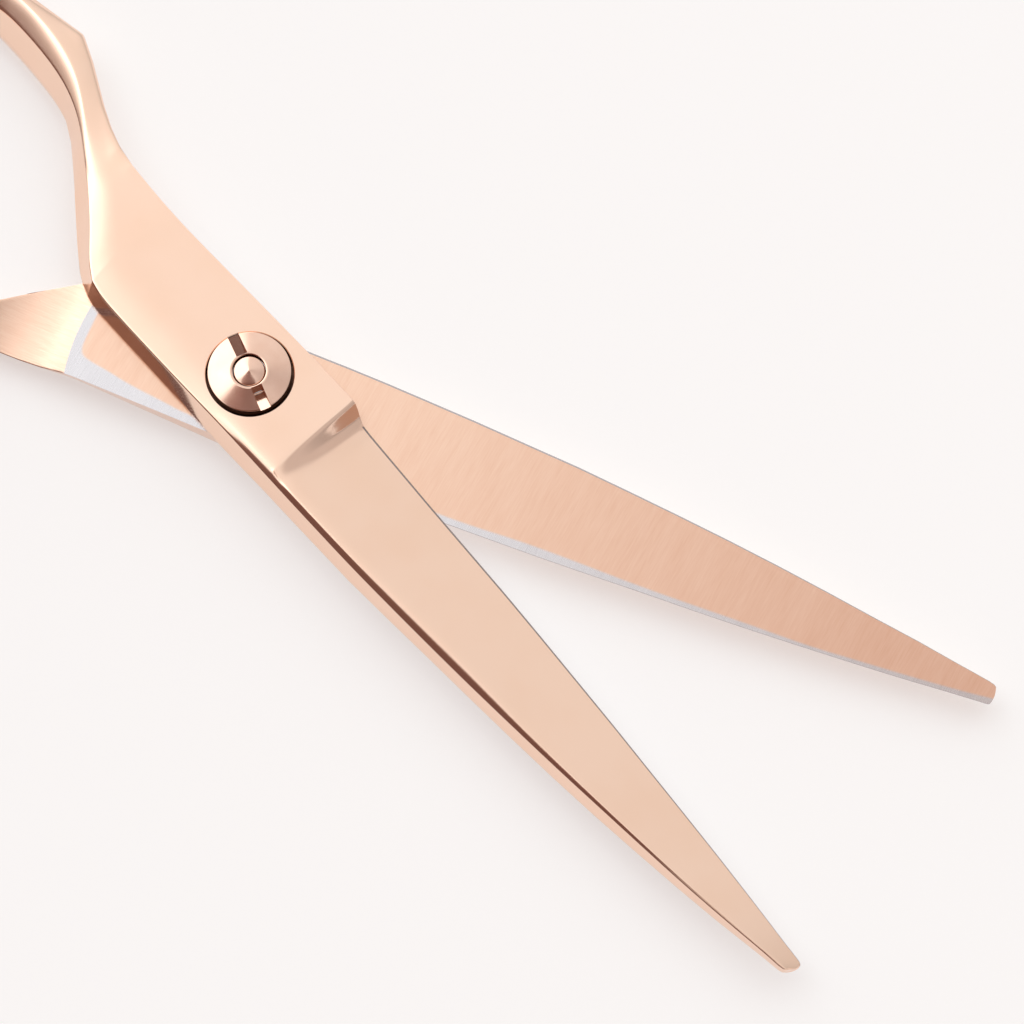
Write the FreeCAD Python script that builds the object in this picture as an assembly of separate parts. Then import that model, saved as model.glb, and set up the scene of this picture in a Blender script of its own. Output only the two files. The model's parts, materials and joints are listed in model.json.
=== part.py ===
import FreeCAD, Part
import math
import os

# Hair cutting shears, in millimetres.
# The finger half (upper layer) lies along +X with its tip at +X and its cutting edge towards +Y.
# The thumb half (lower layer) turns about the pivot axis, which is Z through the origin.
# z = 0 is the underside of the pivot bolt's head, the surface that the shears lie on.
# Each half is drawn closed, in its own frame: x from the pivot towards the tip.

# --- driving sizes ---------------------------------------------------------------------------
tip_reach = 72.0            # pivot to blade tip
handle_reach = 80.4         # pivot to the far side of the finger ring
thumb_reach = 68.0          # pivot to the far side of the thumb ring
open_angle = 24.7           # how far the halves stand open at rest, degrees

ride_gap = 0.10             # running gap between the two ride faces
head_proud = 0.05           # how far the bolt's head stands below the thumb half's underside
body_thick = 2.6            # each half's thickness over the pivot
shank_relief = 0.15         # how far the shank's inner face stands back from the ride plane
edge_land = 0.16            # height of the sharpened bevel at the cutting edge
spine_lip = 0.30            # upright strip under the blade's spine bevel
ridge_drop = 0.15           # how far the ridge's outer side lies below its inner side
choil_start = 8.2           # x where the ground blade face begins to leave the flat body
choil_end = 11.4            # x where the ground blade face is at full depth
weld_x = -24.0              # plane where the blade forging is welded to the handle
corner_cut = 0.35           # corner taken off the shank's edges

ring_bore_radius = 10.75    # finger and thumb holes
ring_wall = 2.65            # ring's radial wall
ring_round = 1.2            # rounding of the ring's edges
finger_side_gap = 1.8       # finger ring's distance from the centre line
thumb_side_gap = 1.7        # thumb ring's distance from the centre line
shank_height = 4.5          # shank's height along Z beside the rings
web_radius = 3.0            # hollow between each shank and its ring

# pivot
bolt_radius = 2.2
bolt_flat_depth = 0.45      # how far each key flat is cut into the bolt
bolt_head_radius = 4.0
bolt_head_thick = 0.85
bolt_head_bevel = 0.15
stud_radius = 1.45          # the bolt's threaded end
stud_dome = 0.28            # rise of the stud's domed end
stud_sunk = 0.22            # how far the stud's shoulder stays below the dial's collar
spanner_hole_radius = 0.45
spanner_hole_pitch = 2.6    # distance of each spanner hole from the axis
spanner_hole_depth = 0.4
bush_wall = 0.5
bush_flange_margin = 0.3    # how far the flange stays inside the bolt head's edge
bush_flange_thick = 0.25
glide_thick = 0.5
glide_radius = 4.3
dial_radius = 3.75
dial_seat_depth = 1.45      # depth of the dial's seat below the body's flat
dial_rim_thick = 0.95
dial_proud = 0.10           # how far the dial's rim stands above the body's flat
dial_rise = 0.42            # rise of the dial's cone from rim to collar
dial_collar_wall = 0.35     # from the bolt's stud to the collar's outside
dial_slot_width = 1.04
dial_slot_depth = 0.50
dial_slot_angle = 162.3     # direction of the key slots, degrees from +X
spring_thick = 0.16
spring_margin = 0.35        # how far the spring stays inside the dial's edge
spring_bore_clear = 0.15    # spring washer's hole round the bolt
keyed_washer_thick = 0.18
keyed_washer_margin = 0.55  # how far the keyed washer stays inside the dial's edge
lock_ring_wall = 0.45
lock_ring_thick = 0.40

# bumper and finger rest
bumper_lead = 15.5          # how far the bumper is in front of the finger ring's centre
bumper_radius = 2.1
bumper_round = 0.7
bumper_stud_radius = 1.0
bumper_stud_depth = 2.6     # how deep the stud goes into the handle
bumper_stud_reach = 2.0     # how far the stud goes into the bumper
rest_angle = 161.0          # where the finger rest joins its ring, degrees from +X
rest_ball = 1.9
rest_stud_radius = 1.0
rest_stud_depth = 1.9
rest_stud_reach = 3.2       # how far the stud goes into the finger rest
rest_washer_thick = 0.5
rest_washer_radius = 1.75

# --- clearances ------------------------------------------------------------------------------
run_clear = 0.03            # radial, for a shaft that turns in a bush
thread_clear = 0.08         # radial, where the plain stud stands for a thread
key_clear = 0.03            # bolt flats in their hole
seat_clear = 0.22           # round the dial and the bolt head in their seats
face_clear = 0.02           # between faces that slide on each other
bumper_clear = 0.10         # bumper to thumb handle when closed

# --- outlines, in each half's own frame ------------------------------------------------------
# Body stations: x, cutting side y, spine side y, ridge y, height of the upright spine wall.
# The body is flat-topped.
finger_body_stations = [
    (weld_x, 5.27, -0.42, 1.25, 0.5),
    (-22.0, 5.00, -1.92, -0.22, 0.5),
    (-20.0, 4.88, -3.42, -1.78, 0.6),
    (-18.0, 4.78, -4.85, -3.38, 0.8),
    (-16.6, 4.74, -5.55, -4.36, 1.2),
    (-15.4, 4.72, -5.92, -4.85, 1.5),
    (-14.2, 4.72, -6.09, -5.14, 1.6),
    (-12.0, 4.76, -6.11, -5.26, 1.6),
    (-5.0, 4.96, -6.09, -5.23, 1.4),
    (2.0, 5.14, -6.03, -5.12, 0.3),
    (choil_start, 5.17, -5.90, -5.12, 0.3),
]
thumb_body_stations = [
    (weld_x, -6.45, -1.75, -2.95, 0.5),
    (-22.0, -6.42, -0.27, -1.45, 0.5),
    (-20.0, -6.37, 1.12, -0.05, 0.6),
    (-18.0, -6.26, 2.44, 1.30, 0.8),
    (-16.6, -6.10, 3.25, 2.15, 1.2),
    (-15.4, -5.98, 3.85, 2.80, 1.5),
    (-14.2, -5.95, 4.25, 3.25, 1.6),
    (-12.0, -5.94, 4.47, 3.58, 1.6),
    (-5.0, -5.90, 4.56, 3.70, 1.4),
    (2.0, -5.88, 4.62, 3.75, 0.3),
    (choil_start, -5.84, 4.70, 3.90, 0.3),
]
# Blade stations: share of the length from choil_end to the tip, cutting edge y, spine y,
# ridge y, inner side of the ridge y, share of the body's thickness at the ridge.
finger_blade_stations = [
    (0.00, 4.60, -5.87, -5.12, -4.55, 1.00),
    (0.14, 4.20, -5.74, -5.04, -4.37, 0.97),
    (0.31, 3.80, -5.15, -4.60, -3.72, 0.89),
    (0.47, 3.25, -4.58, -4.00, -3.60, 0.79),
    (0.64, 2.57, -3.76, -3.17, -2.95, 0.69),
    (0.80, 1.87, -2.67, -2.28, -2.15, 0.58),
    (0.93, 1.17, -1.52, -1.28, -1.20, 0.48),
    (1.00, 0.60, -0.98, -0.80, -0.74, 0.42),
]
thumb_blade_stations = [
    (0.00, -5.52, 4.71, 3.96, 3.40, 1.00),
    (0.14, -5.27, 4.61, 3.91, 3.25, 0.97),
    (0.31, -4.74, 4.34, 3.76, 2.90, 0.89),
    (0.47, -4.07, 3.79, 3.21, 2.80, 0.79),
    (0.64, -3.38, 3.00, 2.42, 2.20, 0.69),
    (0.80, -2.54, 1.99, 1.60, 1.48, 0.58),
    (0.93, -1.70, 1.10, 0.86, 0.78, 0.48),
    (1.00, -1.21, 0.48, 0.30, 0.24, 0.42),
]
# The run-out of the ground face: share of the way from choil_start to choil_end,
# share of the step in the outline, share of the ground depth.
choil_stations = [(0.20, 0.04, 0.36), (0.45, 0.28, 0.70), (0.72, 0.72, 0.92)]
# Shank stations: x, outer y, inner y, ridge y, share of the way down from the body's layer
# to the ring's layer.
finger_shank_stations = [
    (weld_x, 5.27, -0.42, 1.25, 0.00),
    (-26.2, 6.08, 1.22, 2.64, 0.40),
    (-28.4, 7.06, 2.76, 4.12, 0.72),
    (-30.5, 8.14, 3.88, 5.18, 0.89),
    (-32.5, 9.16, 4.44, 5.85, 0.96),
    (-35.05, 10.23, 4.67, 6.29, 1.00),
    (-38.4, 9.59, 4.84, 6.51, 1.00),
    (-42.2, 8.90, 4.80, 6.35, 1.00),
]
thumb_shank_stations = [
    (weld_x, -6.45, -1.75, -2.95, 0.00),
    (-26.0, -6.92, -3.18, -4.40, 0.40),
    (-28.0, -7.75, -4.32, -5.55, 0.72),
    (-30.0, -8.75, -4.98, -6.20, 0.89),
    (-32.0, -9.60, -5.20, -6.55, 0.96),
    (-34.5, -10.40, -5.22, -6.75, 1.00),
    (-37.0, -9.95, -5.00, -6.50, 1.00),
]
# The finger rest's centre line, from its foot: distance along the ring's radius and sideways,
# and the radius of the section there.
finger_rest_stations = [
    (0.0, 0.00, 1.70),
    (5.0, -0.35, 1.95),
    (10.5, -1.95, 2.00),
    (16.0, -5.30, 1.80),
    (20.5, -10.20, 1.60),
]

# --- derived ---------------------------------------------------------------------------------
thumb_face = head_proud + body_thick            # ride face of the thumb half
finger_face = thumb_face + ride_gap             # ride face of the finger half
ride_height = (thumb_face + finger_face) / 2
ring_height = 2 * ride_height                   # the rings lie on z = 0, as the bolt does
body_top = finger_face + body_thick
ring_radius = ring_bore_radius + ring_wall
finger_ring = FreeCAD.Vector(-(handle_reach - ring_radius), finger_side_gap + ring_radius, 0)
thumb_ring = FreeCAD.Vector(-(thumb_reach - ring_radius), -(thumb_side_gap + ring_radius), 0)
glide_recess = (glide_thick - ride_gap) / 2
glide_bottom = thumb_face - glide_recess
glide_top = finger_face + glide_recess
flange_top = bolt_head_thick + face_clear + bush_flange_thick
dial_floor = body_top - dial_seat_depth
dial_bottom = body_top + dial_proud - dial_rim_thick
dial_bore = stud_radius + thread_clear
dial_collar_radius = stud_radius + dial_collar_wall
bolt_flat = bolt_radius - bolt_flat_depth       # half the width across the two key flats
bush_flange_radius = bolt_head_radius - bush_flange_margin
spring_outer = dial_radius - spring_margin
spring_inner = bolt_radius + spring_bore_clear
keyed_washer_radius = dial_radius - keyed_washer_margin
lock_ring_radius = stud_radius + run_clear + lock_ring_wall
bumper_x = finger_ring.x + bumper_lead
axis_z = FreeCAD.Vector(0, 0, 1)
far = 2 * (tip_reach + handle_reach)            # longer than anything here


def vec(x, y, z=0.0):
    return FreeCAD.Vector(x, y, z)


def polygon(points):
    return Part.makePolygon(points + [points[0]])


def cylinder(radius, bottom, top, x=0.0, y=0.0):
    return Part.makeCylinder(radius, top - bottom, vec(x, y, bottom))


def between(a, b, share):
    return a + (b - a) * share


def export(name, shape):
    shape = shape.removeSplitter()
    solids = shape.Solids
    result = solids[0] if len(solids) == 1 else Part.makeCompound(solids)
    result.exportStep(os.path.join("parts", name + ".step"))
    print(name, len(solids), round(result.Volume, 2), result.isValid())


# --- blades ----------------------------------------------------------------------------------
def blade_section(x, cut, spine, ridge, land, edge_height, thick, face, side, floor=0.0, lip=spine_lip):
    """Six corners: ride face, upright edge, ground or flat face, ridge, spine bevel and wall."""
    corners = [
        (cut, floor),
        (cut, edge_height),
        (land, thick),
        (ridge, thick - ridge_drop),
        (spine, lip),
        (spine, floor),
    ]
    return polygon([vec(x, y, face + side * z) for y, z in corners])


def ridge_inside(cut, ridge):
    """Where the flat body's top face meets its ridge."""
    return between(ridge, cut, 0.08)


def body_sections(stations, face, side):
    first_full = -16.0
    sections = []
    for x, cut, spine, ridge, lip in stations:
        land = ridge_inside(cut, ridge)
        floor = shank_relief if x < first_full else 0.0
        thick = body_thick
        sections.append(blade_section(x, cut, spine, ridge, land, thick, thick, face, side, floor, lip))
    return sections


def choil_sections(body_end, blade_start, face, side):
    """The scoop that leads from the flat body down to the ground blade face."""
    _, cut0, spine0, ridge0, _ = body_end
    _, cut1, spine1, ridge1, land1, thick1 = blade_start
    land0 = ridge_inside(cut0, ridge0)
    sections = []
    for along, step, depth in [(0.0, 0.0, 0.0)] + choil_stations + [(1.0, 1.0, 1.0)]:
        x = between(choil_start, choil_end, along)
        cut = between(cut0, cut1, step)
        spine = between(spine0, spine1, along)
        ridge = between(ridge0, ridge1, along)
        land = between(land0, land1, along)
        edge_height = between(body_thick, edge_land, depth)
        thick = body_thick * between(1.0, thick1, along)
        sections.append(blade_section(x, cut, spine, ridge, land, edge_height, thick, face, side))
    return sections


def blade(body_stations, blade_stations, face, side):
    """One half from the weld to the tip, above or below its ride face."""
    body = Part.makeLoft(body_sections(body_stations, face, side), True, True)
    scoop = Part.makeLoft(choil_sections(body_stations[-1], blade_stations[0], face, side), True, True)
    ground = []
    for share, cut, spine, ridge, land, thick in blade_stations:
        x = between(choil_end, tip_reach, share)
        ground.append(blade_section(x, cut, spine, ridge, land, edge_land, thick * body_thick, face, side))
    return body.fuse([scoop, Part.makeLoft(ground, True, False)])


def rounded_tip(shape, blade_stations):
    """Rounds the tip in plan with one arc from the cutting edge to the spine."""
    tip_round = 0.9
    _, cut, spine, _, _, _ = blade_stations[-1]
    outside = math.copysign(far, cut)
    start = vec(tip_reach - tip_round * 0.15, cut)
    end = vec(tip_reach - tip_round, spine * 1.4)
    middle = vec(tip_reach, between(cut, spine, 0.55))
    corners = [end, vec(end.x, -outside), vec(-far, -outside), vec(-far, outside)]
    corners += [vec(start.x, outside), start]
    edges = [Part.Arc(start, middle, end).toShape()]
    edges += [Part.makeLine(a, b) for a, b in zip(corners, corners[1:])]
    plan = Part.Face(Part.Wire(edges))
    plan.translate(vec(0, 0, -far))
    return shape.common(plan.extrude(vec(0, 0, 2 * far)))


def double_d(radius, flat, bottom, top):
    """A round bar with two flats."""
    slab = Part.makeBox(4 * radius, 2 * flat, top - bottom, vec(-2 * radius, -flat, bottom))
    return cylinder(radius, bottom, top).common(slab)


def finger_blade():
    shape = blade(finger_body_stations, finger_blade_stations, finger_face, 1)
    shape = rounded_tip(shape, finger_blade_stations)
    seat = cylinder(dial_radius + seat_clear, dial_floor, body_top + body_thick)
    key_hole = double_d(bolt_radius + key_clear, bolt_flat + key_clear, finger_face - 1, body_top)
    recess = cylinder(glide_radius + key_clear, finger_face - 1, glide_top)
    return shape.cut([seat, key_hole, recess])


def thumb_blade():
    shape = blade(thumb_body_stations, thumb_blade_stations, thumb_face, -1)
    shape = rounded_tip(shape, thumb_blade_stations)
    head_seat = cylinder(bolt_head_radius + seat_clear, -body_thick, flange_top)
    bush_hole = cylinder(bolt_radius + run_clear + bush_wall, 0, thumb_face + 1)
    recess = cylinder(glide_radius + key_clear, glide_bottom - face_clear, thumb_face + 1)
    return shape.cut([head_seat, bush_hole, recess])


# --- handles ---------------------------------------------------------------------------------
def ring(centre):
    """One finger ring, round in plan, with a plain land in its hole."""
    wall = cylinder(ring_radius, 0, ring_height, centre.x, centre.y)
    wall = wall.cut(cylinder(ring_bore_radius, -1, ring_height + 1, centre.x, centre.y))
    rims = [e for e in wall.Edges if isinstance(e.Curve, Part.Circle)]
    return wall.makeFillet(min(ring_round, ring_wall * 0.45), rims)


def shank_section(x, outer, inner, ridge, sink, side):
    """An eight-cornered section of the shank, with its corners taken off."""
    cut = math.copysign(corner_cut, outer)
    low = between(shank_relief, -shank_height / 2, sink)
    high = between(body_thick, shank_height / 2, sink)
    corners = [
        (outer - cut, low),
        (outer, low + corner_cut),
        (outer, high - corner_cut),
        (outer - cut, high),
        (ridge, high),
        (inner, between(low, high, 0.30)),
        (inner, low + corner_cut),
        (inner + cut, low),
    ]
    return polygon([vec(x, y, ride_height + side * z) for y, z in corners])


def tangent_to_ring(start, centre):
    """Where a straight line from the shank's inner side touches the ring."""
    out = start - centre
    turn = math.acos(ring_radius / out.Length)
    angle = math.atan2(out.y, out.x) - math.copysign(turn, centre.y)
    return centre + vec(ring_radius * math.cos(angle), ring_radius * math.sin(angle))


def shank(stations, centre, side):
    """Shank from the weld to the ring, whose outside its inner edge meets as a tangent."""
    x0, outer0, inner0, ridge0, sink0 = stations[-1]
    touch = tangent_to_ring(vec(x0, inner0), centre)
    bend = [shank_section(*station, side) for station in stations]
    run = [shank_section(*stations[-1], side)]
    for share, width_share in [(0.60, 0.95), (1.0, 0.60)]:
        x = between(x0, touch.x, share)
        inner = between(inner0, touch.y, share)
        outer = inner + (outer0 - inner0) * width_share
        ridge = inner + (ridge0 - inner0) * width_share
        run.append(shank_section(x, outer, inner, ridge, sink0, side))
    return Part.makeLoft(bend, True, False).fuse(Part.makeLoft(run, True, True))


def web(stations, centre):
    """The hollow fillet, in plan, that joins the shank's outer side to the ring."""
    x0, outer0, inner0, _, _ = stations[-1]
    way = math.copysign(1, centre.y)
    touch = tangent_to_ring(vec(x0, inner0), centre)
    outer = outer0 + (touch.y - inner0) * 0.45
    hub = vec(0, outer + way * web_radius)
    reach = ring_radius + web_radius
    hub.x = centre.x + math.sqrt(reach**2 - (hub.y - centre.y) ** 2)
    on_shank = vec(hub.x, outer)
    on_ring = centre + (hub - centre) * (ring_radius / reach)
    towards = (on_shank + on_ring) * 0.5 - hub
    middle = hub + towards * (web_radius / towards.Length)
    inside_shank = vec(hub.x, between(outer, inner0, 0.5))
    inside_ring = centre + (touch - centre) * ((ring_radius - ring_wall / 2) / ring_radius)
    edges = [
        Part.Arc(on_shank, middle, on_ring).toShape(),
        Part.makeLine(on_ring, inside_ring),
        Part.makeLine(inside_ring, inside_shank),
        Part.makeLine(inside_shank, on_shank),
    ]
    plan = Part.Face(Part.Wire(edges))
    plan.translate(vec(0, 0, ride_height - shank_height / 2))
    return plan.extrude(vec(0, 0, shank_height))


def handle(stations, centre, side):
    hole = cylinder(ring_bore_radius, -far, far, centre.x, centre.y)
    arm = shank(stations, centre, side).fuse(web(stations, centre)).cut(hole)
    return arm.fuse(ring(centre))


# --- bumper and finger rest ------------------------------------------------------------------
def along_y(radius, start, end):
    """A round bar through the bumper's place from y = start down to y = end."""
    return Part.makeCylinder(radius, start - end, vec(bumper_x, start, ride_height), vec(0, -1, 0))


def crossings(shape):
    """y of each point where lines along Y through the bumper's width enter or leave a shape."""
    found = []
    for x in (bumper_x - bumper_radius, bumper_x, bumper_x + bumper_radius):
        line = Part.makeLine(vec(x, -far, ride_height), vec(x, far, ride_height))
        found += [vertex.Y for vertex in line.common(shape).Vertexes]
    return sorted(found)


def bumper_and_stud(finger, closed_thumb):
    seat = crossings(finger)[0]
    nose = crossings(closed_thumb)[-1] + bumper_clear
    stud = along_y(bumper_stud_radius, seat + bumper_stud_depth, seat - bumper_stud_reach)
    cap = along_y(bumper_radius, seat + bumper_radius, nose)
    rim = [e for e in cap.Edges if isinstance(e.Curve, Part.Circle) and abs(e.CenterOfMass.y - nose) < 1e-6]
    cap = cap.makeFillet(bumper_round, rim)
    return cap.cut([finger, stud]), stud


def rest_frame(shape):
    """Places something drawn along +X from the foot of the finger rest on the ring."""
    placed = shape.copy()
    placed.translate(vec(ring_radius, 0, ride_height))
    placed.rotate(vec(0, 0, 0), axis_z, rest_angle)
    placed.translate(finger_ring)
    return placed


def rest_bar(radius, start, end):
    return Part.makeCylinder(radius, end - start, vec(start, 0, 0), vec(1, 0, 0))


def finger_rest():
    stations = finger_rest_stations
    circles = []
    for i, (along, sideways, radius) in enumerate(stations):
        before = stations[max(i - 1, 0)]
        after = stations[min(i + 1, len(stations) - 1)]
        heading = vec(after[0] - before[0], after[1] - before[1]) if i else vec(1, 0)
        centre = vec(along + rest_washer_thick, sideways)
        circles.append(Part.Wire(Part.makeCircle(radius, centre, heading)))
    along, sideways, _ = stations[-1]
    ball = Part.makeSphere(rest_ball, vec(along + rest_washer_thick, sideways))
    hole = rest_bar(rest_stud_radius, -1, rest_washer_thick + rest_stud_reach)
    return rest_frame(Part.makeLoft(circles, True, False).fuse(ball).cut(hole))


def finger_rest_stud():
    return rest_frame(rest_bar(rest_stud_radius, -rest_stud_depth, rest_washer_thick + rest_stud_reach))


def finger_rest_washer():
    """A soft ring between the rest's foot and the ring's curved side."""
    sunk = rest_washer_radius**2 / ring_radius
    body = rest_bar(rest_washer_radius, -sunk, rest_washer_thick)
    body = body.cut(rest_bar(rest_stud_radius, -ring_wall, rest_washer_thick + 1))
    return rest_frame(body).cut(ring(finger_ring))


# --- pivot -----------------------------------------------------------------------------------
def pivot_bolt():
    head = cylinder(bolt_head_radius, 0, bolt_head_thick)
    rim = [e for e in head.Edges if isinstance(e.Curve, Part.Circle) and e.CenterOfMass.z < 1e-6]
    head = head.makeChamfer(bolt_head_bevel, rim)
    bearing = cylinder(bolt_radius, 0, finger_face)
    keyed = double_d(bolt_radius, bolt_flat, 0, dial_floor + spring_lift() + keyed_washer_thick)
    stud_top = body_top + dial_proud + dial_rise - stud_sunk
    stud = cylinder(stud_radius, finger_face, stud_top)
    ball = (stud_radius**2 + stud_dome**2) / (2 * stud_dome)
    dome = Part.makeSphere(ball, vec(0, 0, stud_top + stud_dome - ball))
    dome = dome.common(cylinder(stud_radius, finger_face, stud_top + 1))
    holes = [
        cylinder(spanner_hole_radius, -1, spanner_hole_depth, x)
        for x in (-spanner_hole_pitch, spanner_hole_pitch)
    ]
    return head.fuse([bearing, keyed, stud, dome]).cut(holes)


def pivot_bush():
    inner = bolt_radius + run_clear
    bottom = bolt_head_thick + face_clear
    sleeve = cylinder(inner + bush_wall, bottom, glide_bottom - 2 * face_clear)
    flange = cylinder(bush_flange_radius, bottom, flange_top)
    return sleeve.fuse(flange).cut(cylinder(inner, -1, far))


def glide_washer():
    return cylinder(glide_radius, glide_bottom, glide_top).cut(cylinder(bolt_radius + run_clear, -1, far))


def spring_lift():
    """Height of the dished spring, from the seat's floor to the keyed washer."""
    return dial_bottom - face_clear - keyed_washer_thick - dial_floor


def spring_washer():
    """A dished washer that presses the dial upwards."""
    rise = spring_lift() - spring_thick
    profile = [
        vec(spring_inner, 0, dial_floor + rise),
        vec(spring_outer, 0, dial_floor),
        vec(spring_outer, 0, dial_floor + spring_thick),
        vec(spring_inner, 0, dial_floor + rise + spring_thick),
    ]
    return Part.Face(polygon(profile)).revolve(vec(0, 0, 0), axis_z, 360)


def keyed_washer():
    """A thin washer on the bolt's flats, so that the dial's turning can't drag the spring."""
    bottom = dial_floor + spring_lift()
    disc = cylinder(keyed_washer_radius, bottom, bottom + keyed_washer_thick)
    return disc.cut(double_d(bolt_radius + key_clear, bolt_flat + key_clear, bottom - 1, bottom + 1))


def tension_dial():
    rim = body_top + dial_proud
    profile = [
        vec(dial_bore, 0, dial_bottom),
        vec(dial_radius, 0, dial_bottom),
        vec(dial_radius, 0, rim),
        vec(dial_collar_radius, 0, rim + dial_rise),
        vec(dial_bore, 0, rim + dial_rise),
    ]
    dial = Part.Face(polygon(profile)).revolve(vec(0, 0, 0), axis_z, 360)
    corner = vec(-dial_radius - 1, -dial_slot_width / 2, rim - dial_slot_depth)
    slots = Part.makeBox(2 * dial_radius + 2, dial_slot_width, body_thick, corner)
    slots = slots.cut(cylinder(dial_collar_radius, 0, far))
    slots.rotate(vec(0, 0, 0), axis_z, dial_slot_angle)
    groove = cylinder(lock_ring_radius, dial_bottom - 1, dial_bottom + lock_ring_thick)
    return dial.cut([slots, groove])


def dial_lock_ring():
    body = cylinder(lock_ring_radius, dial_bottom, dial_bottom + lock_ring_thick)
    return body.cut(cylinder(stud_radius + run_clear, -1, far))


def opened(shape):
    """Turns a piece of the thumb half from closed to the rest opening."""
    turned = shape.copy()
    turned.rotate(vec(0, 0, 0), axis_z, open_angle)
    return turned


def main():
    os.makedirs("parts", exist_ok=True)
    closed_thumb = handle(thumb_shank_stations, thumb_ring, -1)
    plain_finger = handle(finger_shank_stations, finger_ring, 1)
    bumper, bumper_stud = bumper_and_stud(plain_finger, closed_thumb)
    rest_stud = finger_rest_stud()

    export("finger_blade", finger_blade())
    export("finger_handle", plain_finger.cut([bumper_stud, rest_stud]))
    export("finger_rest", finger_rest())
    export("finger_rest_stud", rest_stud)
    export("finger_rest_washer", finger_rest_washer())
    export("bumper", bumper)
    export("bumper_stud", bumper_stud)
    export("pivot_bolt", pivot_bolt())
    export("glide_washer", glide_washer())
    export("spring_washer", spring_washer())
    export("keyed_washer", keyed_washer())
    export("tension_dial", tension_dial())
    export("dial_lock_ring", dial_lock_ring())
    export("thumb_blade", opened(thumb_blade()))
    export("thumb_handle", opened(closed_thumb))
    export("pivot_bush", pivot_bush())


main()
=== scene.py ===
import bpy
import bmesh
import math
from mathutils import Matrix, Vector
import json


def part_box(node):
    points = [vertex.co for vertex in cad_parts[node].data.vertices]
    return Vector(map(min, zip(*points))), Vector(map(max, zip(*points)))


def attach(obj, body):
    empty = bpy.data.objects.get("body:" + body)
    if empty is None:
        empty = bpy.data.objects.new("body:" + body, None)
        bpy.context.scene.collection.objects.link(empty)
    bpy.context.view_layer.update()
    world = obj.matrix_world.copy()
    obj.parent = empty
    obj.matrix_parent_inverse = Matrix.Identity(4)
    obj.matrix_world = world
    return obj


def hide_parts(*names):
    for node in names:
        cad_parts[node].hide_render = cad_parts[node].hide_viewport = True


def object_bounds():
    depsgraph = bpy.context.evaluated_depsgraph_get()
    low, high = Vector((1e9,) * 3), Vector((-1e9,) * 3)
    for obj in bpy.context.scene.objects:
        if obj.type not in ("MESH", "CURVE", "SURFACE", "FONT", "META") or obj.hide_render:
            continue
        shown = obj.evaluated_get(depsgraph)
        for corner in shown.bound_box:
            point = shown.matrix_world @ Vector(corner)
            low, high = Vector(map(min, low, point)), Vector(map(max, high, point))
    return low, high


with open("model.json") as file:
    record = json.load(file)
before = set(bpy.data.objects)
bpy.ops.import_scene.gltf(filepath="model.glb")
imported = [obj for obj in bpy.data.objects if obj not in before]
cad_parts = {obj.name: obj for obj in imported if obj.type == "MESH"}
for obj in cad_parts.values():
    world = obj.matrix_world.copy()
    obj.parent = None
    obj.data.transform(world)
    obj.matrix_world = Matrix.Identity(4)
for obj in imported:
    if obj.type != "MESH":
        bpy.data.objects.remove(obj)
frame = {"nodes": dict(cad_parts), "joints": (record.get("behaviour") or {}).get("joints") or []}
cadLow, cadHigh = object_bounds()
mm = 0.001
print("frame loaded")


# shared layout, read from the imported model
def cadBox(node):
    low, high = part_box(node)
    return low / mm, high / mm


fingerFace = cadBox("finger_blade")[0].z
bodyTop = cadBox("finger_blade")[1].z
thumbFace = cadBox("thumb_blade")[1].z
thumbUnder = cadBox("thumb_blade")[0].z
bodyThick = bodyTop - fingerFace
ridePlane = (fingerFace + thumbFace) / 2
pivotJoint = next(j for j in frame["joints"] if j["name"] == "pivot")
openAngle = math.radians(-pivotJoint["range_deg"][0])
openTurn = Matrix.Rotation(openAngle, 4, "Z")


def between(a, b, share):
    return a + (b - a) * share


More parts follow.
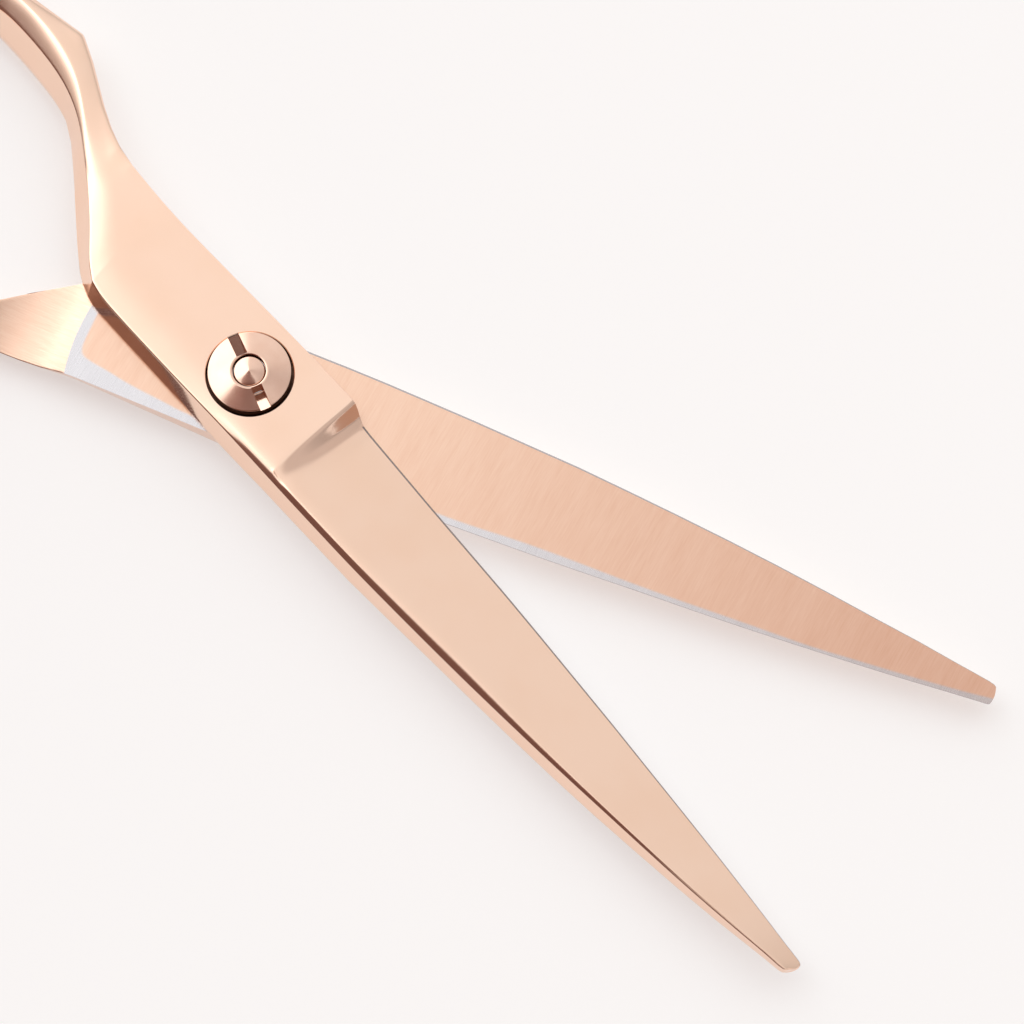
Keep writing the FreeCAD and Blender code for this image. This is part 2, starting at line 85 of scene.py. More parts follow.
# each half as rows of sections, in mm, drawn closed with x from the pivot to the tip
# body rows: x, cutting side y, spine y, ridge y, height of the upright spine wall
# blade rows: share of the ground length, cutting y, spine y, ridge y, land y, share of the thickness
# shank rows: x, outer y, inner y, ridge y, crown y, way down to the ring's layer
# tip rows: x, cutting y, spine y
fingerHalf = dict(
    side=1,
    turn=Matrix.Identity(4),
    ringCentre=(-67.0, 15.2),
    tuck=0.0,              # how far the shank's outer wall leans in under its face
    hollow=0.0,            # extra depth of the shank's inner face behind the half-moon
    body=[
        (-22.0, 5.00, -1.92, -0.22, 0.5), (-20.0, 4.88, -3.42, -1.78, 0.6),
        (-18.0, 4.78, -4.85, -3.60, 0.5), (-17.0, 4.75, -5.38, -4.30, 0.45),
        (-15.76, 4.73, -5.84, -4.92, 0.4), (-15.74, 4.73, -5.84, -4.92, 0.4),
        (-14.9, 4.72, -6.02, -5.15, 0.35), (-14.0, 4.72, -6.10, -5.27, 0.3),
        (-12.0, 4.76, -6.11, -5.33, 0.3), (-8.5, 4.86, -6.10, -5.32, 0.3),
        (-5.0, 4.96, -6.09, -5.29, 0.3), (-1.5, 5.06, -6.06, -5.22, 0.3),
        (2.0, 5.14, -6.03, -5.14, 0.3), (5.5, 5.16, -5.97, -5.12, 0.3),
        (7.6, 5.17, -5.92, -5.12, 0.3), (8.2, 5.17, -5.90, -5.12, 0.3),
    ],
    blade=[
        (0.00, 4.60, -5.87, -5.12, -4.57, 1.00), (0.06, 4.43, -5.82, -5.09, -4.53, 0.99),
        (0.14, 4.20, -5.74, -5.04, -4.46, 0.97), (0.22, 4.01, -5.48, -4.84, -4.23, 0.93),
        (0.31, 3.80, -5.15, -4.60, -3.97, 0.89), (0.39, 3.54, -4.88, -4.32, -3.72, 0.84),
        (0.47, 3.25, -4.58, -4.00, -3.58, 0.79), (0.56, 2.92, -4.19, -3.61, -3.27, 0.74),
        (0.64, 2.57, -3.76, -3.17, -2.92, 0.69), (0.72, 2.23, -3.24, -2.74, -2.53, 0.64),
        (0.80, 1.87, -2.67, -2.28, -2.12, 0.58), (0.87, 1.51, -2.10, -1.77, -1.64, 0.53),
        (0.93, 1.17, -1.52, -1.28, -1.18, 0.48), (0.958, 1.00, -1.25, -1.05, -0.97, 0.46),
    ],
    shank=[
        (-24.0, 5.34, -0.36, 1.25, 1.42, 0.10), (-26.2, 6.08, 1.22, 2.64, 2.90, 0.40),
        (-28.4, 7.06, 2.76, 4.12, 4.52, 0.72), (-30.5, 8.14, 3.88, 5.08, 5.86, 0.89),
        (-32.5, 9.16, 4.44, 5.70, 6.85, 0.96), (-35.05, 10.23, 4.67, 6.14, 7.59, 1.00),
        (-38.4, 9.59, 4.84, 6.34, 8.04, 1.00), (-42.2, 8.90, 4.80, 6.25, 7.90, 1.00),
    ],
    tip=dict(
        lean=0.36,
        rounding=0.14,
        rows=[(71.18, 0.86, -1.12), (71.70, 0.80, -1.02), (71.92, 0.68, -0.90), (71.98, 0.47, -0.68)],
    ),
)
thumbHalf = dict(
    side=-1,
    turn=openTurn,
    ringCentre=(-54.6, -15.1),
    tuck=0.6,
    hollow=0.42,
    body=[
        (-22.0, -6.42, -0.27, -1.45, 0.5), (-20.0, -6.37, 1.12, -0.05, 0.6),
        (-18.0, -6.26, 2.44, 1.30, 0.8), (-17.0, -6.15, 3.05, 1.94, 1.1),
        (-15.76, -6.01, 3.71, 2.64, 1.4), (-15.74, -6.01, 3.71, 2.64, 1.4),
        (-14.9, -5.96, 4.04, 3.02, 1.55), (-14.0, -5.95, 4.28, 3.29, 1.6),
        (-12.0, -5.94, 4.47, 3.58, 1.6), (-8.5, -5.92, 4.53, 3.66, 1.5),
        (-5.0, -5.90, 4.56, 3.70, 1.4), (-1.5, -5.89, 4.59, 3.73, 0.8),
        (2.0, -5.88, 4.62, 3.75, 0.3), (5.5, -5.86, 4.66, 3.83, 0.3),
        (7.6, -5.84, 4.70, 3.89, 0.3), (8.2, -5.84, 4.70, 3.90, 0.3),
    ],
    blade=[
        (0.00, -5.52, 4.71, 3.96, 3.40, 1.00), (0.06, -5.42, 4.67, 3.94, 3.34, 0.99),
        (0.14, -5.27, 4.61, 3.91, 3.25, 0.97), (0.22, -5.02, 4.48, 3.84, 3.08, 0.93),
        (0.31, -4.74, 4.34, 3.76, 2.95, 0.89), (0.39, -4.42, 4.08, 3.50, 2.85, 0.84),
        (0.47, -4.07, 3.79, 3.21, 2.80, 0.79), (0.56, -3.74, 3.41, 2.83, 2.50, 0.74),
        (0.64, -3.38, 3.00, 2.42, 2.20, 0.69), (0.72, -2.97, 2.52, 2.02, 1.84, 0.64),
        (0.80, -2.54, 1.99, 1.60, 1.48, 0.58), (0.87, -2.12, 1.56, 1.24, 1.13, 0.53),
        (0.93, -1.70, 1.10, 0.86, 0.78, 0.48), (0.965, -1.48, 0.85, 0.65, 0.57, 0.45),
    ],
    shank=[
        (-24.0, -6.45, -1.75, -2.95, -3.15, 0.10), (-26.0, -6.92, -3.18, -4.40, -4.75, 0.40),
        (-28.0, -7.75, -4.32, -5.55, -6.15, 0.72), (-30.0, -8.75, -4.98, -6.20, -7.00, 0.89),
        (-32.0, -9.60, -5.20, -6.55, -7.60, 0.96), (-34.5, -10.40, -5.22, -6.75, -8.10, 1.00),
        (-37.0, -9.95, -5.00, -6.50, -7.90, 1.00),
    ],
    tip=dict(
        lean=0.02,
        rounding=0.10,
        rows=[(71.20, -1.34, 0.69), (71.75, -1.30, 0.57), (71.95, -1.22, 0.42), (72.02, -1.06, 0.16)],
    ),
)
halfSizes = dict(
    choilStart=8.2,       # the hollow behind the cutting edge
    choilEnd=11.4,
    # its rows: share of its length, of the step in outline, and of the way down to the edge
    choil=[(0.08, 0.02, 0.10), (0.20, 0.14, 0.42), (0.34, 0.44, 0.76), (0.56, 0.86, 0.95)],
    edgeLand=0.16,        # thickness left at the cutting edge
    facetSlope=0.7,       # fall of the facet beside the ridge, for its width
    facetDrop=0.42,       # and the most it may fall
    spineLip=0.3,         # upright wall left under the spine's slope
    topShares=(0.018, 0.38, 0.72),           # where the top face has its points
    underShares=(0.014, 0.34, 0.66, 0.90),   # and the ride face
    tuckStart=2.0,        # the spine wall leans in more and more behind this x
    tuckLength=20.0,
    tipRidge=0.17,
    tipLand=0.26,
    tipThick=0.43,        # share of the body's thickness
    tipDrop=0.08,
    # roll-off beside the body's ridge: x, width, depth
    crown=[(-3.0, 2.1, 0.16), (1.5, 1.1, 0.20), (4.0, 0.58, 0.28), (6.5, 0.56, 0.36), (9.0, 0.56, 0.385)],
    lineWidth=0.07,       # narrow facet polished along the ridge
    relief=0.15,          # step behind the half-moon
    reliefRun=3.5,        # length over which it deepens
    moonStart=-15.75,
    moonBow=0.64,
    shankHalf=2.25,       # half the shank's height
    ringBore=10.75,
    ringWall=2.65,
    ringHalf=2.70,        # half the ring's height
    ringSteps=24,
    mouthStart=27.5,      # where the ring opens for the shank, degrees
    mouthHeights=(-1.5, -0.5, 0.5, 1.5),
    smoothLevels=3,
)


# one row of a blade or body, 14 points: ride edge, top face, ridge, spine, ride face
def bladeLoop(half, x, cut, spine, ridge, land, edge, thick, drop, lip,
              floor=0.0, bow=0.0, lean=0.0, tuck=0.0):
    way = math.copysign(1, cut - spine)
    under = cut - way * tuck
    line = halfSizes["lineWidth"]
    rise = thick - edge
    top = [(between(under, land, s), edge + rise * s) for s in halfSizes["topShares"]]
    flat = [(between(spine, cut, s), floor) for s in halfSizes["underShares"]]
    points = [(cut, floor), (under, edge)] + top + [(land, thick)]
    points += [(ridge + way * line, thick - drop), (ridge - way * line * 0.4, thick - drop - line)]
    points += [(spine, lip), (spine, floor)] + flat
    face = fingerFace if half["side"] > 0 else thumbFace
    loop = []
    for y, z in points:
        arc = bow * (1 - ((y - cut) / (spine - cut) * 2 - 1) ** 2)
        loop.append((x - arc - lean * abs(cut - y), y, face + half["side"] * z))
    return loop


# width and depth of the roll-off beside the body's ridge
def crownAt(x):
    rows = halfSizes["crown"]
    for (xA, widthA, dropA), (xB, widthB, dropB) in zip(rows, rows[1:]):
        if x < xB:
            share = max(0, (x - xA) / (xB - xA))
            return between(widthA, widthB, share), between(dropA, dropB, share)
    return rows[-1][1:]


def bodyLoop(half, row, floor=0.0, bow=0.0):
    x, cut, spine, ridge, lip = row
    way = math.copysign(1, cut - spine)
    width, drop = crownAt(x)
    tuck = half["tuck"] * min(1, max(0, (halfSizes["tuckStart"] - x) / halfSizes["tuckLength"]))
    return bladeLoop(half, x, cut, spine, ridge, ridge + way * width, bodyThick, bodyThick,
                     drop, lip, floor, bow, tuck=tuck)


# between the full body and the ground blade
def choilLoop(half, share, step, depth):
    _, cutA, spineA, ridgeA, lipA = half["body"][-1]
    _, cutB, spineB, ridgeB, landB, _ = half["blade"][0]
    way = math.copysign(1, cutA - spineA)
    width, drop = crownAt(half["body"][-1][0])
    landA = ridgeA + way * width
    x = between(halfSizes["choilStart"], halfSizes["choilEnd"], share)
    edge = between(bodyThick, halfSizes["edgeLand"], depth)
    return bladeLoop(half, x, between(cutA, cutB, step), between(spineA, spineB, share),
                     between(ridgeA, ridgeB, share), between(landA, landB, share), edge, bodyThick,
                     between(drop, halfSizes["facetSlope"] * abs(landB - ridgeB), share), lipA)


def groundLoop(half, row):
    share, cut, spine, ridge, land, thickShare = row
    x = between(halfSizes["choilEnd"], cadHigh.x / mm, share)
    drop = min(halfSizes["facetDrop"], halfSizes["facetSlope"] * abs(land - ridge))
    return bladeLoop(half, x, cut, spine, ridge, land, halfSizes["edgeLand"], bodyThick * thickShare,
                     drop, halfSizes["spineLip"])


# the last rows close in to a blunt, slightly leaning tip
def tipLoops(half):
    tip = half["tip"]
    way = half["side"]
    loops = []
    for front, cut, spine in tip["rows"]:
        ridge = spine + way * halfSizes["tipRidge"]
        land = spine + way * halfSizes["tipLand"]
        thick = bodyThick * halfSizes["tipThick"]
        loops.append(bladeLoop(half, front, cut, spine, ridge, land, halfSizes["edgeLand"], thick,
                               halfSizes["tipDrop"], halfSizes["spineLip"], bow=-tip["rounding"],
                               lean=tip["lean"]))
    return loops


# the shank sinks from the body's layer to the middle of the ring's height
def shankLoop(half, row):
    x, outer, inner, ridge, crown, sink = row
    way = math.copysign(1, outer - inner)
    gap = abs(fingerFace - ridePlane)
    low = between(halfSizes["relief"] + half["hollow"] + gap, -halfSizes["shankHalf"], sink)
    high = between(bodyThick + gap, halfSizes["shankHalf"], sink)
    crownDrop = between(0.12, 0, sink)
    drop = crownDrop + 0.04 + 0.38 * abs(crown - ridge)
    lean = half["tuck"]
    line = halfSizes["lineWidth"]
    topEdge = outer - way * lean
    roundOff = between(0.15, 0.40, sink)      # the outer edge is rounder towards the ring
    points = [
        (outer - way * (0 if lean else 0.15), low), (topEdge, high - between(0.10, 0.75, sink)),
        (outer - way * (lean + roundOff), high - between(0.02, 0.38, sink)),
        (between(topEdge, crown, 0.45), high - between(0, 0.20, sink)),
        (between(topEdge, crown, 0.80), high - between(0, 0.04, sink)),
        (crown, high - crownDrop),
        (ridge + way * line, high - drop), (ridge - way * line * 0.4, high - drop - line),
        (inner, between(low, high, 0.30)), (inner + way * 0.1, low),
    ]
    points += [(between(inner, outer, s), low) for s in (0.14, 0.40, 0.66, 0.88)]
    return [(x, y, ridePlane + half["side"] * z) for y, z in points]


# a round-cornered row that leads on to the ring's opening
def roundLoop(half, x, outer, inner):
    swell = math.copysign(0.18, outer - inner)
    bottom, low, high, top = halfSizes["mouthHeights"]
    arch = ((0.22, 2.2), (0.5, 2.4), (0.78, 2.2))
    points = [(outer, bottom), (outer + swell, low), (outer + swell, high), (outer, top)]
    points += [(between(outer, inner, s), z) for s, z in arch]
    points += [(inner, top), (inner - swell, high), (inner - swell, low), (inner, bottom)]
    points += [(between(inner, outer, s), -z) for s, z in arch]
    return [(x, y, ridePlane + half["side"] * z) for y, z in points]


def mixLoops(first, second, share):
    return [tuple(between(a, b, share) for a, b in zip(p, q)) for p, q in zip(first, second)]


def startLoop(bm, points):
    verts = [bm.verts.new(p) for p in points]
    for a, b in zip(verts, verts[1:] + verts[:1]):
        bm.edges.new((a, b))
    return verts


# extrudes the open edge loop once and puts each new vertex in its place
def growLoop(bm, verts, points):
    edges = [bm.edges.get((a, b)) for a, b in zip(verts, verts[1:] + verts[:1])]
    grown = bmesh.ops.extrude_edge_only(bm, edges=edges)["geom"]
    fresh = {g for g in grown if isinstance(g, bmesh.types.BMVert)}
    placed = []
    for old, point in zip(verts, points):
        new = next(e.other_vert(old) for e in old.link_edges if e.other_vert(old) in fresh)
        new.co = point
        placed.append(new)
    return placed


# a ring spun from its rounded section, with an opening on its outer wall for the shank
def spinRing(bm, half):
    step = 360 / halfSizes["ringSteps"]
    grow = 6 / (4 + 2 * math.cos(math.radians(step)))      # smoothing pulls the ring in by this
    bore = halfSizes["ringBore"] * grow
    outside = (halfSizes["ringBore"] + halfSizes["ringWall"]) * grow
    tall = halfSizes["ringHalf"] + 0.05
    centre = Vector((*half["ringCentre"], ridePlane))
    way = math.copysign(1, centre.y)
    heights = halfSizes["mouthHeights"]
    turns = [halfSizes["mouthStart"] + step * k for k in range(5)]
    angles = [math.radians(-way * a) for a in turns]
    section = [(outside, z) for z in heights]
    section += [(outside - 0.7, tall), (bore + 0.65, tall)]
    section += [(bore - 0.1, z) for z in (1.6, 0, -1.6)]
    section += [(bore + 0.65, -tall), (outside - 0.7, -tall)]
    spoke = Vector((math.cos(angles[0]), math.sin(angles[0]), 0))
    verts = startLoop(bm, [centre + spoke * r + Vector((0, 0, z * half["side"])) for r, z in section])
    edges = [bm.edges.get((a, b)) for a, b in zip(verts, verts[1:] + verts[:1])]
    bmesh.ops.spin(bm, geom=verts + edges, cent=centre, axis=(0, 0, 1), angle=math.tau,
                   steps=halfSizes["ringSteps"], use_merge=True)
    bmesh.ops.remove_doubles(bm, verts=bm.verts[:], dist=0.01)
    opening = []
    for face in bm.faces:
        out = face.calc_center_median() - centre
        turn = math.degrees(math.atan2(out.y, out.x)) * -way
        if out.xy.length > outside - 0.3 and abs(out.z) < heights[3] and turns[0] < turn < turns[4]:
            opening.append(face)
    bmesh.ops.delete(bm, geom=opening, context="FACES")
    stops = [(angles[0], z) for z in heights]
    stops += [(a, heights[3]) for a in angles[1:]]
    stops += [(angles[4], z) for z in reversed(heights[:3])]
    stops += [(a, heights[0]) for a in reversed(angles[1:4])]
    return [
        centre + Vector((outside * math.cos(a), outside * math.sin(a), z * half["side"])) for a, z in stops
    ]


# where each finish stands in a half's list
# the last finish is the dark brown painted shade of the seat recesses
polished, rideFaces, honedEdge, brushedInside, plainRing, paintedShadeSeatWall = range(6)


# the coarse shape of a half: ring, then row by row along the shank, body and blade
def buildHalfCage(half):
    bm = bmesh.new()
    crease = bm.edges.layers.float.new("crease_edge")
    mouth = spinRing(bm, half)
    for face in bm.faces:
        face.material_index = plainRing
    shank = [shankLoop(half, row) for row in half["shank"]]
    xEnd, outerEnd, innerEnd = half["shank"][-1][:3]
    touch = mouth[7]                       # the opening's corner nearest the shank
    length = xEnd - touch.x
    roundRows = []
    for step in (0.15, 0.36):
        inner = between(innerEnd, touch.y, step)
        outer = outerEnd + (touch.y - innerEnd) * step * 0.2
        roundRows.append(roundLoop(half, xEnd - length * step, outer, inner))
    blend = mixLoops(shank[-1], roundRows[0], 0.5)
    rows = [(loop, "round") for loop in (roundRows[1], roundRows[0], blend)]
    rows += [(loop, "shank") for loop in reversed(shank)]
    for row in half["body"]:
        bow = halfSizes["moonBow"] if abs(row[0] - halfSizes["moonStart"]) < 0.1 else 0.0
        if row[0] < halfSizes["moonStart"]:
            away = min(1, (halfSizes["moonStart"] - row[0]) / halfSizes["reliefRun"])
            depth = halfSizes["relief"] + half["hollow"] * away * away * (3 - 2 * away)
            rows.append((bodyLoop(half, row, depth, bow), "neck"))
        else:
            rows.append((bodyLoop(half, row, 0.0, bow), "body"))
    rows += [(choilLoop(half, *row), "choil") for row in halfSizes["choil"]]
    rows += [(groundLoop(half, row), "blade") for row in half["blade"]]
    rows += [(loop, "tip") for loop in tipLoops(half)]
    verts = startLoop(bm, mouth)
    # crease of the fourteen lengthwise edges
    sharpness = {
        "round": [0] * 14,
        "shank": [0.4, 0.3, 0.3, 0, 0, 0, 0.6, 0.5, 0.6, 0.6, 0, 0, 0, 0],
        "neck": [0.8, 0.6, 0, 0, 0, 0, 0.9, 0.9, 1, 1, 0, 0, 0, 0],
        "body": [1, 0.9, 1, 0, 0, 0, 0.9, 0.9, 1, 1, 1, 0, 0, 0],
        "choil": [1, 1, 1, 0, 0, 0.15, 0.9, 0.9, 1, 1, 1, 0, 0, 0],
        "blade": [1, 1, 1, 0, 0, 0.3, 0.9, 0.9, 1, 1, 1, 0, 0, 0],
        "tip": [1, 1, 1, 0, 0, 0, 0.5, 0.5, 1, 1, 1, 0, 0, 0],
    }
    for points, kind in rows:
        new = growLoop(bm, verts, points)
        for i in range(14):
            long = bm.edges.get((verts[i], new[i]))
            long[crease] = sharpness[kind][i]
            strip = next(f for f in long.link_faces if new[(i + 1) % 14] in f.verts)
            strip.material_index = stripFinish(half, kind, i)
        x = points[3][0]
        if kind == "body" and abs(x - halfSizes["choilStart"]) < 0.01:
            for i, value in ((0, 0.3), (1, 0.3), (2, 0.45), (3, 0.3)):
                bm.edges.get((new[i], new[i + 1]))[crease] = value
        if kind == "shank" and abs(x - half["shank"][5][0]) < 0.01:
            for i in (0, 1, 2):
                bm.edges.get((new[i], new[i + 1]))[crease] = (0.9, 0.9, 0.6)[i]
        if kind == "shank" and abs(x - half["shank"][3][0]) < 0.01:
            bm.edges.get((new[8], new[9]))[crease] = 0.7
        if abs(points[9][0] - halfSizes["moonStart"]) < 0.1:
            for i in (9, 10, 11, 12, 13):
                bm.edges.get((new[i], new[(i + 1) % 14]))[crease] = 1
        verts = new
    bmesh.ops.contextual_create(bm, geom=verts)
    bmesh.ops.remove_doubles(bm, verts=bm.verts[:], dist=0.002)
    bmesh.ops.recalc_face_normals(bm, faces=bm.faces[:])
    bmesh.ops.transform(bm, matrix=half["turn"], verts=bm.verts[:])
    bmesh.ops.scale(bm, vec=(mm, mm, mm), verts=bm.verts[:])
    return bm


# which finish each strip of a row takes
def stripFinish(half, kind, strip):
    if kind == "round":
        return plainRing
    if kind in ("shank", "neck"):
        return brushedInside if strip in (9, 10, 11, 12, 13) else plainRing
    if strip == 9 and half is thumbHalf:
        return honedEdge
    if strip in (9, 10, 11, 12, 13):
        return rideFaces
    if kind in ("blade", "tip") and strip in (0, 1):
        return honedEdge
    return polished


def newObject(name, data):
    made = bpy.data.objects.new(name, data)
    bpy.context.scene.collection.objects.link(made)
    return made


def meshFrom(bm, name):
    mesh = bpy.data.meshes.new(name)
    bm.to_mesh(mesh)
    bm.free()
    return mesh


# a solid turned round the pivot axis from rows of radius and height, in mm
def turnedMesh(rows, name, steps):
    bm = bmesh.new()
    verts = [bm.verts.new((r * mm, 0, z * mm)) for r, z in rows]
    edges = [bm.edges.new(pair) for pair in zip(verts, verts[1:])]
    bmesh.ops.spin(bm, geom=verts + edges, cent=(0, 0, 0), axis=(0, 0, 1), angle=math.tau,
                   steps=steps, use_merge=True)
    bmesh.ops.remove_doubles(bm, verts=bm.verts[:], dist=1e-7)
    bmesh.ops.holes_fill(bm, edges=bm.edges[:], sides=0)
    bmesh.ops.recalc_face_normals(bm, faces=bm.faces[:])
    return meshFrom(bm, name)


def turnedObject(name, rows, steps=96):
    return newObject(name, turnedMesh(rows, name, steps))


def smoothed(piece, levels):
    smooth = piece.modifiers.new("smooth", "SUBSURF")
    smooth.levels = levels
    smooth.render_levels = levels


# runs an object's modifiers and keeps only the finished mesh
def settle(name, rough, tools):
    for tool in tools:
        cut = rough.modifiers.new(tool.name, "BOOLEAN")
        cut.operation = "DIFFERENCE"
        cut.solver = "EXACT"
        cut.object = tool
    bpy.context.view_layer.update()
    seen = rough.evaluated_get(bpy.context.evaluated_depsgraph_get())
    mesh = bpy.data.meshes.new_from_object(seen)
    for gone in [rough] + tools:
        bpy.data.objects.remove(gone)
    made = newObject(name, mesh)
    mesh.name = name
    return made


# edges that turn more than the given angle stay crisp
def crispEdges(piece, angle):
    bm = bmesh.new()
    bm.from_mesh(piece.data)
    bmesh.ops.remove_doubles(bm, verts=bm.verts[:], dist=2e-7)
    bmesh.ops.dissolve_degenerate(bm, dist=1e-7, edges=bm.edges[:])
    for face in bm.faces:
        face.smooth = True
    for edge in bm.edges:
        edge.smooth = edge.is_manifold and edge.calc_face_angle(0) < math.radians(angle)
    bm.to_mesh(piece.data)
    bm.free()


def keepMesh(name, half, tools):
    bm = buildHalfCage(half)
    rough = newObject(name + "Rough", meshFrom(bm, name + "Rough"))
    for _ in range(6):
        rough.data.materials.append(None)
    smoothed(rough, halfSizes["smoothLevels"])
    made = settle(name, rough, tools)
    crispEdges(made, 32)
    return made


# seats and holes, sized from the pivot's own pieces
dialLow, dialHigh = cadBox("tension_dial")
boltLow, boltHigh = cadBox("pivot_bolt")
glideLow, glideHigh = cadBox("glide_washer")
bushLow = cadBox("pivot_bush")[0]
pivotFit = dict(
    seatClear=0.22,        # gap round the dial and round the bolt's head
    seatDepth=1.45,
    seatShift=(0.155, -0.095, 0),
    chamfer=0.07,
    keyRadius=2.23,
    bushRadius=2.73,
    recessClear=0.03,      # gap round the glide washer
    recessUnder=0.02,
    headChamfer=0.12,
    headRoom=0.25,
)
seatRadius = dialHigh.x + pivotFit["seatClear"]
seatFloor = bodyTop - pivotFit["seatDepth"]
seatShift = Vector(pivotFit["seatShift"]) * mm
seatLip = pivotFit["chamfer"]
recess = glideHigh.x + pivotFit["recessClear"]
fingerTools = [
    turnedObject("dialSeatTool", [
        (0, seatFloor), (seatRadius, seatFloor), (seatRadius, bodyTop - seatLip),
        (seatRadius + 2 * seatLip, bodyTop + seatLip),
        (seatRadius + 2 * seatLip, bodyTop + 2), (0, bodyTop + 2)]),
    turnedObject("keyHoleTool", [
        (0, fingerFace - 1), (pivotFit["keyRadius"], fingerFace - 1),
        (pivotFit["keyRadius"], seatFloor + 0.5), (0, seatFloor + 0.5)]),
    turnedObject("glideTool", [
        (0, fingerFace - 1), (recess, fingerFace - 1), (recess, glideHigh.z), (0, glideHigh.z)]),
]
headSeat = boltHigh.x + pivotFit["seatClear"]
headTop = bushLow.z + pivotFit["headRoom"]
recessFloor = glideLow.z - pivotFit["recessUnder"]
thumbTools = [
    turnedObject("headSeatTool", [
        (0, -2), (headSeat + 0.2, -2), (headSeat + 0.2, thumbUnder),
        (headSeat, thumbUnder + pivotFit["headChamfer"]), (headSeat, headTop), (0, headTop)]),
    turnedObject("bushHoleTool", [
        (0, 0), (pivotFit["bushRadius"], 0), (pivotFit["bushRadius"], thumbFace + 1), (0, thumbFace + 1)]),
    turnedObject("glideTool", [
        (0, recessFloor), (recess, recessFloor), (recess, thumbFace + 1), (0, thumbFace + 1)]),
]
fingerTools[0].data.transform(Matrix.Translation(seatShift))
fingerPiece = keepMesh("finger_half_polished", fingerHalf, fingerTools)
# faces inside the dial seat take the dark brown painted shade of the recess
for face in fingerPiece.data.polygons:
    inSeat = (face.center.xy - seatShift.xy).length < (seatRadius + 0.02) * mm
    deep = abs(face.center.z / mm - seatFloor) < 0.05
    steep = abs(face.normal.z) < 0.4 and seatFloor < face.center.z / mm < bodyTop - seatLip
    if inSeat and (deep or steep):
        face.material_index = paintedShadeSeatWall
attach(fingerPiece, "finger_half")
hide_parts("finger_blade", "finger_handle")
print("finger half built", len(fingerPiece.data.polygons))
thumbPiece = keepMesh("thumb_half_polished", thumbHalf, thumbTools)
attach(thumbPiece, "thumb_half")
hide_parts("thumb_blade", "thumb_handle")
print("thumb half built", len(thumbPiece.data.polygons))


# tension dial: a shallow cone with a raised collar and two key slots
dial = dict(
    rimChamfer=0.06,
    coneDrop=0.42,         # from the collar's top down to the rim
    collarRadius=1.76,
    collarLip=0.05,
    bore=1.51,
    slotWidth=1.04,
    slotAngle=162.3,
    slotRound=0.05,
    slotRim=0.22,          # slot depth at the rim
    slotEnd=0.10,          # from the collar to the slot's inner end
    slotSlope=16,          # the floor falls towards the collar, degrees
)


def buildDial():
    rim = dialHigh.x
    low, high = dialLow.z, dialHigh.z
    rimTop = high - dial["coneDrop"]
    bevel = dial["rimChamfer"]
    collar = dial["collarRadius"]
    outer, inner = (rim - bevel, rimTop), (collar + dial["collarLip"], high - 0.02)
    shares = (0.03, 0.35, 0.66, 0.97)      # close rows at both ends keep the cone's shading straight
    cone = [(between(outer[0], inner[0], s), between(outer[1], inner[1], s)) for s in shares]
    rows = [
        (dial["bore"], low), (rim - 0.08, low), (rim, low + 0.08), (rim, rimTop - bevel),
        (rim - bevel * 0.35, rimTop - bevel * 0.3), outer, *cone, inner, (collar - 0.02, high),
        (dial["bore"] + 0.09, high), (dial["bore"] + 0.03, high - 0.02), (dial["bore"], high - 0.08),
        (dial["bore"], low),
    ]
    rough = turnedObject("dialRough", rows, 128)
    tools = []
    for flip in (0, 180):
        bm = bmesh.new()
        bmesh.ops.create_cube(bm, size=1)
        reach = rim + 1 - collar - dial["slotEnd"]
        bmesh.ops.scale(bm, vec=(reach, dial["slotWidth"], 2), verts=bm.verts[:])
        shift = Vector((rim + 1 - reach / 2, 0, rimTop - dial["slotRim"] + 1))
        bmesh.ops.translate(bm, vec=shift, verts=bm.verts[:])
        floorEdges = [e for e in bm.edges if all(v.co.z < rimTop for v in e.verts)]
        bmesh.ops.bevel(bm, geom=floorEdges, offset=dial["slotRound"], offset_type="OFFSET", affect="EDGES",
                        segments=2, profile=0.5, material=-1)
        hinge = Vector((rim, 0, rimTop - dial["slotRim"]))
        tip = Matrix.Translation(hinge) @ Matrix.Rotation(-math.radians(dial["slotSlope"]), 4, "Y")
        bmesh.ops.translate(bm, vec=-hinge, verts=bm.verts[:])
        bmesh.ops.transform(bm, matrix=tip, verts=bm.verts[:])
        turn = Matrix.Rotation(math.radians(dial["slotAngle"] + flip), 4, "Z")
        bmesh.ops.transform(bm, matrix=turn, verts=bm.verts[:])
        bmesh.ops.scale(bm, vec=(mm, mm, mm), verts=bm.verts[:])
        tools.append(newObject("slotTool", meshFrom(bm, "slotTool")))
    made = settle("tension_dial_turned", rough, tools)
    crispEdges(made, 22)
    return made


dialPiece = buildDial()
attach(dialPiece, "tension_dial")
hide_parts("tension_dial")

# pivot bolt: flat head underneath with two spanner holes, threaded end with a shallow cone
bolt = dict(
    headThick=0.85,
    headBevel=0.15,
    bearing=2.2,
    stud=1.37,
    studCone=0.28,
    threadPitch=0.35,
    threadDepth=0.06,
    spannerHole=0.45,
    spannerPitch=2.6,
    spannerDepth=0.4,
)


